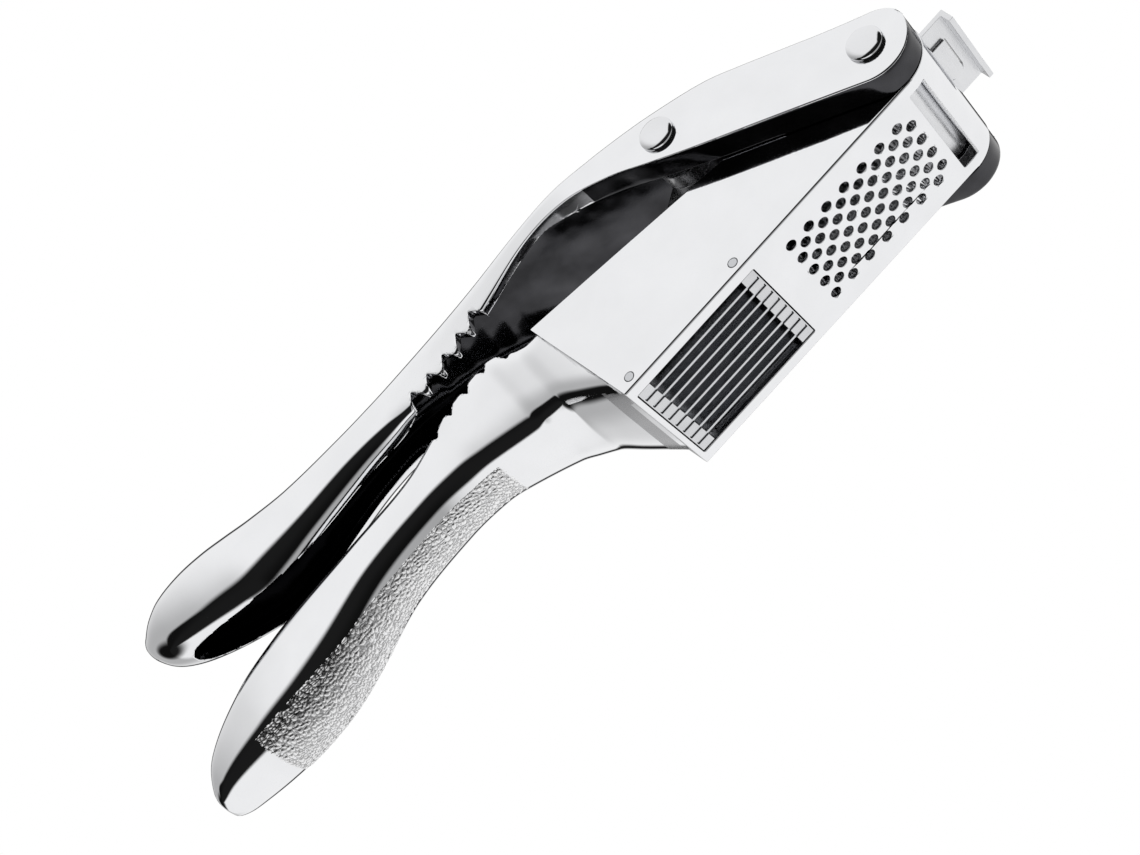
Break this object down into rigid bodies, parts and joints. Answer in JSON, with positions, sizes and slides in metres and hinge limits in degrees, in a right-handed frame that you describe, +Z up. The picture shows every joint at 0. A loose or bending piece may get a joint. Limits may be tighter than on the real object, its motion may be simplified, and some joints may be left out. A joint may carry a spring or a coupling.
{
  "type": "garlic press",
  "caption": "Two-handled cast press that slices at one end of its box and minces at the other, with nutcracker teeth behind the box and a swinging pusher.",
  "frame": {"origin": "on the flat underside of the box, midway across it, between the slicing window and the mincing holes", "axes": "+X along the tool from the handles to the hinge, +Y along the hinge pin, +Z up from the underside to the lever"},
  "size_m": [0.2274, 0.05, 0.079],
  "materials": {
    "chrome_body": "polished chrome plate on cast zinc",
    "chrome_lever": "polished chrome plate on cast zinc",
    "pusher": "satin chrome plate on cast zinc",
    "rivet": "polished domed steel",
    "blade": "ground stainless steel",
    "sheet": "pressed stainless sheet"
  },
  "bodies": {
    "base": {"press_body": "chrome_body", "hinge_pin": "rivet", "hinge_pin_cap": "rivet", "blade_bar_rear": "sheet", "blade_bar_front": "sheet", "blade_rod_rear": "rivet", "blade_rod_front": "rivet", "end_tab": "sheet", "slicing_blade_1": "blade", "slicing_blade_2": "blade", "slicing_blade_3": "blade", "slicing_blade_4": "blade", "slicing_blade_5": "blade", "slicing_blade_6": "blade", "slicing_blade_7": "blade", "slicing_blade_8": "blade"},
    "lever": {"lever": "chrome_lever", "plunger_pin": "rivet", "plunger_pin_cap": "rivet"},
    "plunger": {"plunger": "pusher"}
  },
  "joints": [
    {"name": "lever_hinge", "type": "hinge", "parent": "base", "child": "lever", "pos_m": [0.0441, 0, 0.0094], "axis": [0, 1, 0], "range_deg": [-1.5, 90]},
    {"name": "plunger_pivot", "type": "hinge", "parent": "lever", "child": "plunger", "pos_m": [0.0046, 0, 0.0369], "axis": [0, 1, 0], "range_deg": [-10.9, 0.2]}
  ],
  "couplings": [
    {"joint": "plunger_pivot", "follows": "lever_hinge", "ratio": -0.12}
  ]
}
